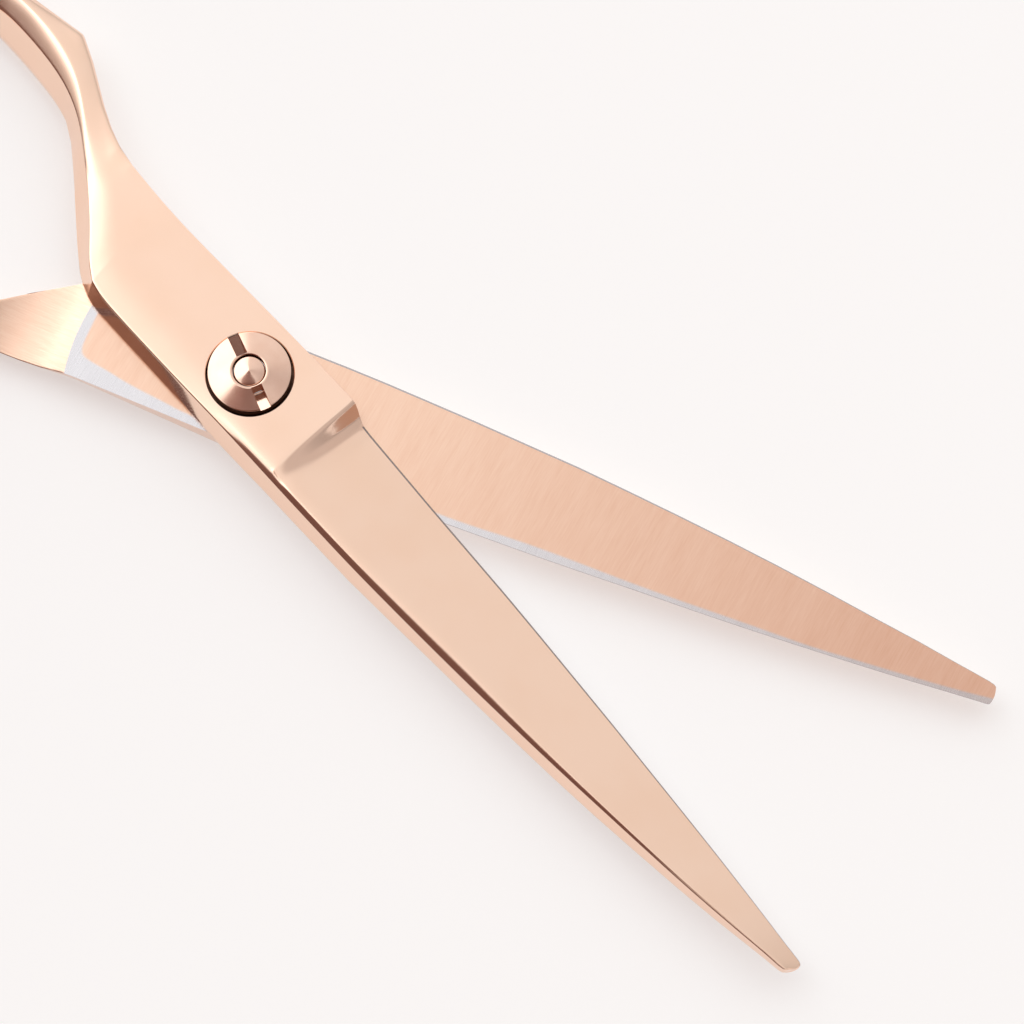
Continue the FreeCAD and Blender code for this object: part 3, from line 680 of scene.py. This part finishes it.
def buildBolt():
    head = boltHigh.x
    top = boltHigh.z
    shoulder = top - bolt["studCone"]
    bevel = bolt["headBevel"]
    under, thick = boltLow.z, bolt["headThick"]
    bearing, stud = bolt["bearing"], bolt["stud"]
    rows = [
        (0, under), (head * 0.5, under), (head - bevel - 0.03, under), (head - bevel, under + 0.01),
        (head - 0.01, under + bevel), (head, under + bevel + 0.03), (head, thick - 0.03),
        (head - 0.04, thick), (bearing, thick), (bearing, fingerFace),
        (stud + 0.3, fingerFace), (stud + 0.3, seatFloor),
    ]
    z = seatFloor + 0.3
    while z < shoulder - 0.45:
        rows += [(stud, z), (stud - bolt["threadDepth"], z + bolt["threadPitch"] / 2)]
        z += bolt["threadPitch"]
    rows += [(stud, shoulder - 0.25), (stud, shoulder - 0.03), (stud - 0.03, shoulder)]
    for share in (0.1, 0.4, 0.7, 0.9):     # the end is very slightly domed
        rows.append((between(stud, 0, share), shoulder + bolt["studCone"] * share * (1.1 - 0.1 * share)))
    rows += [(0.05, top - 0.004), (0, top)]
    rough = turnedObject("boltRough", rows)
    tools = []
    for side in (-1, 1):
        hole, depth = bolt["spannerHole"], bolt["spannerDepth"]
        tool = turnedObject("spannerTool", [
            (0, -1), (hole + 0.06, -1), (hole + 0.06, 0), (hole, 0.06), (hole, depth - 0.1), (0, depth)], 40)
        tool.data.transform(Matrix.Translation((side * bolt["spannerPitch"] * mm, 0, 0)))
        tools.append(tool)
    made = settle("pivot_bolt_turned", rough, tools)
    crispEdges(made, 24)
    return made


boltPiece = buildBolt()
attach(boltPiece, "finger_half")
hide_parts("pivot_bolt")
print("pivot built")

# finger rest: a tapered tang that curls away from the finger ring
rest = dict(
    angle=161.0,           # round the ring, degrees
    foot=13.4,             # from the ring's centre
    washer=0.5,
    sides=12,
    smoothLevels=3,
    # along the tang, aside from it, radius
    rows=[(0.0, 0.0, 1.45), (0.35, 0.0, 1.78), (1.2, -0.02, 1.62), (2.6, -0.10, 1.70), (5.0, -0.35, 1.93),
          (8.0, -1.00, 2.02), (10.5, -1.95, 2.00), (13.4, -3.45, 1.92), (16.0, -5.30, 1.80),
          (18.4, -7.60, 1.68), (20.3, -9.90, 1.64), (20.9, -10.75, 1.55), (21.25, -11.25, 0.95)],
)


def buildRest():
    bm = bmesh.new()
    verts = None
    rows = rest["rows"]
    for i, (along, aside, radius) in enumerate(rows):
        before, after = rows[max(i - 1, 0)], rows[min(i + 1, len(rows) - 1)]
        heading = math.atan2(after[1] - before[1], after[0] - before[0])
        loop = []
        for k in range(rest["sides"]):
            a = math.tau * k / rest["sides"]
            across = radius * math.cos(a)
            loop.append((along - across * math.sin(heading), aside + across * math.cos(heading),
                         radius * math.sin(a)))
        verts = growLoop(bm, verts, loop) if verts else startLoop(bm, loop)
    bmesh.ops.holes_fill(bm, edges=bm.edges[:], sides=0)
    bmesh.ops.recalc_face_normals(bm, faces=bm.faces[:])
    bmesh.ops.translate(bm, vec=(rest["foot"] + rest["washer"], 0, ridePlane), verts=bm.verts[:])
    turn = Matrix.Rotation(math.radians(rest["angle"]), 4, "Z")
    centre = Matrix.Translation((*fingerHalf["ringCentre"], 0))
    bmesh.ops.transform(bm, matrix=centre @ turn, verts=bm.verts[:])
    bmesh.ops.scale(bm, vec=(mm, mm, mm), verts=bm.verts[:])
    for face in bm.faces:
        face.smooth = True
    made = newObject("finger_rest_polished", meshFrom(bm, "finger_rest_polished"))
    smoothed(made, rest["smoothLevels"])
    return made


restPiece = buildRest()
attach(restPiece, "finger_half")
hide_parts("finger_rest")

# bumper: a soft round stop on the finger handle
bumper = dict(footRound=0.12, footHeight=0.5, waist=0.18, noseRound=0.7, noseSteps=5)


def buildBumper():
    low, high = cadBox("bumper")
    radius = (high.x - low.x) / 2
    length = high.y - low.y
    nose, foot = bumper["noseRound"], bumper["footRound"]
    rows = [(0, 0), (radius - foot, 0), (radius, foot), (radius, bumper["footHeight"]),
            (radius - bumper["waist"], length * 0.4),
            (radius - 0.02, length - nose - 0.35), (radius, length - nose)]
    for k in range(1, bumper["noseSteps"] + 1):
        a = math.pi / 2 * k / bumper["noseSteps"]
        rows.append((radius - nose + nose * math.cos(a), length - nose + nose * math.sin(a)))
    rows.append((0, length))
    made = turnedObject("bumper_soft", rows, 64)
    made.data.transform(Matrix.Rotation(math.pi / 2, 4, "X"))
    middle = (low + high) / 2
    made.data.transform(Matrix.Translation((middle.x * mm, high.y * mm, middle.z * mm)))
    crispEdges(made, 40)
    return made


bumperPiece = buildBumper()
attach(bumperPiece, "finger_half")
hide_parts("bumper")
print("rest and bumper built")


# materials
def newMaterial(name, colour, roughness, metallic=1.0):
    made = bpy.data.materials.new(name)
    made.use_nodes = True
    shader = made.node_tree.nodes["Principled BSDF"]
    shader.inputs["Base Color"].default_value = (*colour, 1)
    shader.inputs["Roughness"].default_value = roughness
    shader.inputs["Metallic"].default_value = metallic
    return made, made.node_tree.nodes, made.node_tree.links


# object coordinates in mm, turned with the piece
def mapped(nodes, links, scale=(1, 1, 1), turn=0.0):
    place = nodes.new("ShaderNodeTexCoord")
    mapping = nodes.new("ShaderNodeMapping")
    first = nodes.new("ShaderNodeMapping")
    first.inputs["Rotation"].default_value = (0, 0, turn)
    first.inputs["Scale"].default_value = (1 / mm, 1 / mm, 1 / mm)
    mapping.inputs["Scale"].default_value = scale
    links.new(place.outputs["Object"], first.inputs["Vector"])
    links.new(first.outputs["Vector"], mapping.inputs["Vector"])
    return mapping.outputs["Vector"]


def noise(nodes, links, vector, scale, detail, roughness):
    made = nodes.new("ShaderNodeTexNoise")
    made.inputs["Scale"].default_value = scale
    made.inputs["Detail"].default_value = detail
    made.inputs["Roughness"].default_value = roughness
    links.new(vector, made.inputs["Vector"])
    return made.outputs["Fac"]


def ranged(nodes, links, value, low, high, outLow, outHigh, kind="LINEAR"):
    made = nodes.new("ShaderNodeMapRange")
    made.interpolation_type = kind
    for socket, number in zip(("From Min", "From Max", "To Min", "To Max"), (low, high, outLow, outHigh)):
        made.inputs[socket].default_value = number
    links.new(value, made.inputs["Value"])
    return made.outputs["Result"]


def mixColour(nodes, links, share, first, second):
    made = nodes.new("ShaderNodeMix")
    made.data_type = "RGBA"
    links.new(share, made.inputs["Factor"])
    for socket, colour in ((made.inputs[6], first), (made.inputs[7], second)):
        if isinstance(colour, bpy.types.NodeSocket):
            links.new(colour, socket)
        else:
            socket.default_value = (*colour, 1)
    return made.outputs[2]


def maths(nodes, links, kind, *values):
    made = nodes.new("ShaderNodeMath")
    made.operation = kind
    for socket, value in zip(made.inputs, values):
        if isinstance(value, bpy.types.NodeSocket):
            links.new(value, socket)
        else:
            socket.default_value = value
    return made.outputs["Value"]


# joins colour, roughness and a fine bump, whose depth is in mm, to the material's shader
def finished(made, paint, rough, height, strength, depth):
    nodes, links = made.node_tree.nodes, made.node_tree.links
    shader = nodes["Principled BSDF"]
    bump = nodes.new("ShaderNodeBump")
    bump.inputs["Strength"].default_value = strength
    bump.inputs["Distance"].default_value = depth * mm
    links.new(height, bump.inputs["Height"])
    links.new(bump.outputs["Normal"], shader.inputs["Normal"])
    links.new(paint, shader.inputs["Base Color"])
    links.new(rough, shader.inputs["Roughness"])
    return made


# mirror polish with faint haze, buffing lines and a little wave
def polishedGold(name, colour, deep, roughness, turn=0.0):
    made, nodes, links = newMaterial(name, colour, roughness)
    buff = noise(nodes, links, mapped(nodes, links, (0.35, 5.0, 5.0), turn), 2.4, 4.0, 0.65)
    haze = noise(nodes, links, mapped(nodes, links, (1, 1, 1), turn), 0.16, 3.0, 0.5)
    tone = ranged(nodes, links, haze, 0.3, 0.75, 0, 1, "SMOOTHSTEP")
    rough = ranged(nodes, links, buff, 0.25, 0.8, roughness * 0.8, roughness * 1.3)
    return finished(made, mixColour(nodes, links, tone, colour, deep), rough, buff, 0.02, 0.02)


# ride face: copper brushed across, with the honed half-moon and strip left bare
ride = dict(
    copper=(0.90, 0.65, 0.51),          # beside the pivot
    copperDeep=(0.83, 0.55, 0.41),
    copperFar=(0.76, 0.485, 0.365),     # at the tip; the copper and the bare steel grow darker towards it
    copperFarDeep=(0.70, 0.41, 0.29),
    bare=(0.76, 0.75, 0.78),
    bareDeep=(0.67, 0.66, 0.69),
    bareFar=(0.60, 0.53, 0.525),
    bareFarDeep=(0.50, 0.44, 0.435),
    moonInner=-15.35,
    moonCorner=2.2,
    brushAngle=6,                       # degrees off square
    copperFade=(12, 66),                # where it turns from near to far
    bareFade=(15, 68),
    lineSoft=(-0.15, 0.14),             # how gently the copper ends
)


# honed is the line between copper and bare steel: x, and the distance to the spine's side
def rideFinish(name, turn, way, honed):
    made, nodes, links = newMaterial(name, ride["copper"], 0.34)
    mapping = mapped(nodes, links, (1, 1, 1), turn)
    across = mapped(nodes, links, (9.0, 0.45, 1.0), turn + math.radians(ride["brushAngle"]))
    fine = noise(nodes, links, across, 1.0, 5.0, 0.6)
    coarse = noise(nodes, links, mapped(nodes, links, (0.9, 0.12, 1.0), turn), 1.0, 3.0, 0.5)
    tone = maths(nodes, links, "ADD", maths(nodes, links, "MULTIPLY", fine, 0.75),
                 maths(nodes, links, "MULTIPLY", coarse, 0.35))
    worn = ranged(nodes, links, tone, 0.30, 0.80, 0, 1)
    split = nodes.new("ShaderNodeSeparateXYZ")
    links.new(mapping, split.inputs["Vector"])
    along = split.outputs["X"]
    near = mixColour(nodes, links, worn, ride["copper"], ride["copperDeep"])
    far = mixColour(nodes, links, worn, ride["copperFar"], ride["copperFarDeep"])
    copper = mixColour(nodes, links, ranged(nodes, links, along, *ride["copperFade"], 0, 1), near, far)
    aside = maths(nodes, links, "MULTIPLY", split.outputs["Y"], way)
    curve = nodes.new("ShaderNodeFloatCurve")       # works in 0 to 1: x from -20 to 80, y to 8
    points = curve.mapping.curves[0].points
    for x, y in honed:
        points.new((x + 20) / 100, y / 8)
    points.remove(points[len(points) - 1])
    points.remove(points[0])
    curve.mapping.extend = "HORIZONTAL"
    curve.mapping.update()
    share = maths(nodes, links, "DIVIDE", maths(nodes, links, "ADD", along, 20), 100)
    links.new(share, curve.inputs["Value"])
    line = maths(nodes, links, "MULTIPLY", curve.outputs["Value"], 8)
    inside = maths(nodes, links, "SUBTRACT", line, aside)
    behind = maths(nodes, links, "SUBTRACT", along, ride["moonInner"])
    both = maths(nodes, links, "SMOOTH_MIN", inside, behind, ride["moonCorner"])
    silver = ranged(nodes, links, both, *ride["lineSoft"], 1, 0, "SMOOTHSTEP")
    near = mixColour(nodes, links, worn, ride["bare"], ride["bareDeep"])
    far = mixColour(nodes, links, worn, ride["bareFar"], ride["bareFarDeep"])
    steel = mixColour(nodes, links, ranged(nodes, links, along, *ride["bareFade"], 0, 1), near, far)
    rough = ranged(nodes, links, fine, 0.2, 0.8, 0.26, 0.42)
    rough = maths(nodes, links, "SUBTRACT", rough, maths(nodes, links, "MULTIPLY", silver, 0.08))
    return finished(made, mixColour(nodes, links, silver, copper, steel), rough, fine, 0.10, 0.03)


# the thumb shank's inner face keeps the lengthwise brushing of its forging
def brushedGold(name, turn, colour, deep):
    made, nodes, links = newMaterial(name, colour, 0.3)
    fine = noise(nodes, links, mapped(nodes, links, (0.5, 12.0, 3.0), turn), 1.0, 5.0, 0.65)
    tone = ranged(nodes, links, fine, 0.3, 0.75, 0, 1)
    rough = ranged(nodes, links, fine, 0.2, 0.8, 0.24, 0.42)
    return finished(made, mixColour(nodes, links, tone, colour, deep), rough, fine, 0.25, 0.04)


# honed or plain steel with fine lines along the piece
def bareSteel(name, turn, colour):
    made, nodes, links = newMaterial(name, colour, 0.25)
    fine = noise(nodes, links, mapped(nodes, links, (2.0, 14.0, 14.0), turn), 1.0, 4.0, 0.6)
    deep = tuple(c * 0.86 for c in colour)
    rough = ranged(nodes, links, fine, 0.2, 0.8, 0.18, 0.34)
    return finished(made, mixColour(nodes, links, fine, colour, deep), rough, fine, 0.1, 0.02)


# turned parts show rings round the pivot axis
def turnedGold(name, colour, deep, roughness):
    made, nodes, links = newMaterial(name, colour, roughness)
    wave = nodes.new("ShaderNodeTexWave")
    wave.wave_type = "RINGS"
    wave.rings_direction = "Z"
    wave.inputs["Scale"].default_value = 3.2
    wave.inputs["Distortion"].default_value = 0.6
    wave.inputs["Detail"].default_value = 2
    plain = mapped(nodes, links)
    links.new(plain, wave.inputs["Vector"])
    tone = ranged(nodes, links, noise(nodes, links, plain, 0.7, 3.0, 0.5), 0.3, 0.7, 0, 1)
    rings = wave.outputs["Fac"]
    rough = ranged(nodes, links, rings, 0, 1, roughness * 0.8, roughness * 1.35)
    return finished(made, mixColour(nodes, links, tone, colour, deep), rough, rings, 0.015, 0.02)


# rubber and plastic with a fine grain
def softFinish(name, colour, deep, roughness, grain):
    made, nodes, links = newMaterial(name, colour, roughness, 0.0)
    speck = noise(nodes, links, mapped(nodes, links), grain, 4.0, 0.6)
    rough = ranged(nodes, links, speck, 0.2, 0.8, roughness * 0.85, min(1, roughness * 1.1))
    return finished(made, mixColour(nodes, links, speck, colour, deep), rough, speck, 0.2, 0.05)


gold = dict(colour=(0.93, 0.67, 0.53), deep=(0.915, 0.645, 0.50))
seatShadeBrown = dict(colour=(0.16, 0.085, 0.06), deep=(0.09, 0.045, 0.03))     # painted shade: dark brown laid on the walls and floors of the seats, standing in for the shade inside their recesses
fingerFinishes = [
    polishedGold("rosePolish", gold["colour"], gold["deep"], 0.15),
    rideFinish("fingerRide", 0.0, 1, [(-20, -5.0), (20, -5.0), (72, -5.0)]),
    # the finger blade's honed edge is bare steel, partly its own colour and partly painted shade that makes
    # its thin line read dark
    bareSteel("fingerEdge", 0.0, (0.33, 0.27, 0.25)),
    brushedGold("fingerShankInside", 0.0, gold["colour"], (0.86, 0.58, 0.44)),
    polishedGold("fingerShank", gold["colour"], gold["deep"], 0.17),
    brushedGold("paintedShadeSeatWall", 0.0, seatShadeBrown["colour"], seatShadeBrown["deep"]),
]
honeLine = [(-14.3, 4.0), (-12.7, 4.18), (-9.6, 4.63), (-6.5, 4.88), (-4.2, 5.06), (8, 5.0), (21.3, 4.59),
            (30, 3.95), (40, 3.58), (50, 2.98), (55, 2.69), (60, 2.18), (65, 1.63), (70, 0.98), (72, 0.65)]
thumbFinishes = [
    polishedGold("rosePolishThumb", gold["colour"], gold["deep"], 0.15, -openAngle),
    rideFinish("thumbRide", -openAngle, -1, honeLine),
    bareSteel("thumbEdge", -openAngle, (0.46, 0.43, 0.44)),
    brushedGold("thumbShankInside", -openAngle, (0.92, 0.66, 0.52), (0.84, 0.55, 0.41)),
    polishedGold("thumbShank", gold["colour"], gold["deep"], 0.17, -openAngle),
    # the thumb's head seat takes the same dark brown painted shade
    brushedGold("headSeatPaintedShade", -openAngle, seatShadeBrown["colour"], seatShadeBrown["deep"]),
]
for piece, finishes in ((fingerPiece, fingerFinishes), (thumbPiece, thumbFinishes)):
    for i, finish in enumerate(finishes):
        piece.data.materials[i] = finish


def dress(piece, finish):
    piece.data.materials.clear()
    piece.data.materials.append(finish)


pivotGold = turnedGold("pivotGold", (0.86, 0.60, 0.48), (0.82, 0.55, 0.43), 0.12)
dress(dialPiece, pivotGold)
dress(boltPiece, pivotGold)
dress(restPiece, polishedGold("restPolish", gold["colour"], gold["deep"], 0.16))
dress(bumperPiece, softFinish("bumperRubber", (0.30, 0.25, 0.24), (0.24, 0.20, 0.19), 0.6, 3.0))
springFinish = bareSteel("springSteel", 0.0, (0.56, 0.56, 0.58))
nodeFinishes = dict(
    finger_rest_stud=springFinish,
    bumper_stud=springFinish,
    finger_rest_washer=softFinish("restWasher", (0.25, 0.22, 0.21), (0.19, 0.17, 0.16), 0.65, 3.0),
    glide_washer=softFinish("glidePlastic", (0.90, 0.89, 0.86), (0.84, 0.83, 0.80), 0.45, 2.0),
    spring_washer=springFinish,
    keyed_washer=springFinish,
    dial_lock_ring=springFinish,
    pivot_bush=softFinish("bushPlastic", (0.88, 0.87, 0.84), (0.82, 0.81, 0.78), 0.45, 2.0),
)
for node, finish in nodeFinishes.items():
    dress(frame["nodes"][node], finish)
print("materials done")

# floor and the colours of the studio
studio = dict(
    floorColour=(0.43, 0.475, 0.49),
    floorGlow=(0.57, 0.52, 0.505),       # light coming through the translucent table
    sky=(1.0, 0.985, 0.97),
    card=(0.20, 0.09, 0.075),
    dark=(0.10, 0.032, 0.022),
)
bm = bmesh.new()
bmesh.ops.create_grid(bm, x_segments=8, y_segments=8, size=1.5)
floor = newObject("floor", meshFrom(bm, "floor"))
floorFinish, nodes, links = newMaterial("paperFloor", studio["floorColour"], 0.9, 0.0)
shader = nodes["Principled BSDF"]
shader.inputs["Specular IOR Level"].default_value = 0.1
grain = noise(nodes, links, mapped(nodes, links), 0.05, 3.0, 0.5)
warmer = tuple(c * f for c, f in zip(studio["floorColour"], (1.0, 0.995, 0.99)))
links.new(mixColour(nodes, links, grain, studio["floorColour"], warmer), shader.inputs["Base Color"])
shader.inputs["Emission Color"].default_value = (*studio["floorGlow"], 1)
shader.inputs["Emission Strength"].default_value = 1.0
floor.data.materials.append(floorFinish)

# camera
shot = dict(target=(24.76, 9.33, 2.7), tilt=16.51, turn=48.24, distance=409.0, lens=161.4)   # mm, degrees
tilt = math.radians(shot["tilt"])
heading = math.radians(shot["turn"])
right = Vector((math.cos(heading), math.sin(heading), 0))
upPlan = Vector((-math.sin(heading), math.cos(heading), 0))
back = -upPlan * math.sin(tilt) + Vector((0, 0, 1)) * math.cos(tilt)
up = upPlan * math.cos(tilt) + Vector((0, 0, 1)) * math.sin(tilt)
lens = bpy.data.cameras.new("camera")
lens.lens = shot["lens"]
lens.sensor_width = 36
lens.clip_start = 0.01
lens.clip_end = 20
camera = newObject("camera", lens)
eye = (Vector(shot["target"]) + back * shot["distance"]) * mm
camera.matrix_world = Matrix.Translation(eye) @ Matrix((right, up, back)).transposed().to_4x4()
bpy.context.scene.camera = camera
bpy.context.scene.view_settings.view_transform = "Standard"

# studio: a bright tent with a glow and a window on the left and a dim brown front
# each fade: where it starts, where it is full, then its value there and at the start if not 1 and 0
tent = dict(
    leftGlow=(-0.05, -0.30, 0.40),
    rightFade=(0.06, 0.45, 0.91, 1.03),
    lowFade=(0.0, 0.75, 1.0, 0.72),
    windowTilt=0.53,
    windowSlant=(0.43, 0.48),
    windowFront=(0.26, 0.32),
    windowSide=(-0.28, -0.32),
    windowNear=(0.0, 0.06),
    windowEnd=(-0.72, -0.50, 0.75),
    cardTilt=0.16,
    cardTop=(0.0, -0.03),
    cardLeft=(-0.35, -0.31),
    cardRight=(0.16, 0.19, 0, 1),
    cardShare=0.88,
    dimSide=(0.05, 0.40, 0.32),
    dimFront=(0.50, 0.20),
    darkFront=(-0.145, -0.175, 0.9),
    darkSide=(0.36, 0.29),
    cornerAcross=0.746,
    cornerAlong=0.666,
    darkCorner=(-0.36, -0.58),
    darkLow=(0.02, 0.12),
    darkShare=0.95,
)
world = bpy.data.worlds.new("tent")
bpy.context.scene.world = world
world.use_nodes = True
nodes, links = world.node_tree.nodes, world.node_tree.links
nodes.clear()
place = nodes.new("ShaderNodeTexCoord")
output = nodes.new("ShaderNodeOutputWorld")
glow = nodes.new("ShaderNodeBackground")
links.new(glow.outputs["Background"], output.inputs["Surface"])


def facing(direction):
    made = nodes.new("ShaderNodeVectorMath")
    made.operation = "DOT_PRODUCT"
    made.inputs[1].default_value = direction
    links.new(place.outputs["Generated"], made.inputs[0])
    return made.outputs["Value"]


def fade(value, start, full, most=1, least=0):
    return ranged(nodes, links, value, start, full, least, most, "SMOOTHSTEP")


def times(first, second):
    return maths(nodes, links, "MULTIPLY", first, second)


def added(first, second):
    return maths(nodes, links, "ADD", first, second)


def larger(first, second):
    return maths(nodes, links, "MAXIMUM", first, second)


sideways, forwards, upwards = facing(right), facing(upPlan), facing((0, 0, 1))
slant = maths(nodes, links, "SUBTRACT", times(forwards, tent["windowTilt"]), sideways)
high = times(fade(slant, *tent["windowSlant"]), fade(forwards, *tent["windowFront"]))
side = times(fade(sideways, *tent["windowSide"]), fade(forwards, *tent["windowNear"]))
window = times(larger(high, side), fade(sideways, *tent["windowEnd"]))
power = added(added(fade(sideways, *tent["leftGlow"]), window), fade(sideways, *tent["rightFade"]))
power = times(power, fade(upwards, *tent["lowFade"]))
cardTop = added(forwards, times(sideways, tent["cardTilt"]))
card = times(fade(cardTop, *tent["cardTop"]), fade(sideways, *tent["cardLeft"]))
card = times(times(card, fade(sideways, *tent["cardRight"])), tent["cardShare"])
dim = times(fade(sideways, *tent["dimSide"]), fade(forwards, *tent["dimFront"]))
lowFront = times(fade(forwards, *tent["darkFront"]), fade(sideways, *tent["darkSide"]))
corner = added(times(sideways, tent["cornerAcross"]), times(forwards, tent["cornerAlong"]))
band = times(larger(lowFront, fade(corner, *tent["darkCorner"])), fade(upwards, *tent["darkLow"]))
colour = mixColour(nodes, links, larger(card, dim), studio["sky"], studio["card"])
colour = mixColour(nodes, links, times(band, tent["darkShare"]), colour, studio["dark"])
links.new(colour, glow.inputs["Color"])
links.new(power, glow.inputs["Strength"])

# one wide soft key light from the upper right
softKey = dict(
    size=0.9,
    energy=1.6,
    colour=(1.0, 0.985, 0.965),
    lean=(0.45, 0.55, 0.9),     # right, ahead, up
    reach=0.9,
    over=0.02,
)
key = bpy.data.lights.new("softKey", "AREA")
key.shape = "DISK"
key.size = softKey["size"]
key.energy = softKey["energy"]
key.color = softKey["colour"]
lamp = newObject("softKey", key)
across, along, above = softKey["lean"]
towards = (right * across + upPlan * along + Vector((0, 0, 1)) * above).normalized()
lamp.location = Vector((softKey["over"], 0.0, 0)) + towards * softKey["reach"]
lamp.visible_glossy = False
lamp.rotation_mode = "QUATERNION"
lamp.rotation_quaternion = (-towards).to_track_quat("-Z", "Y")
print("studio done")
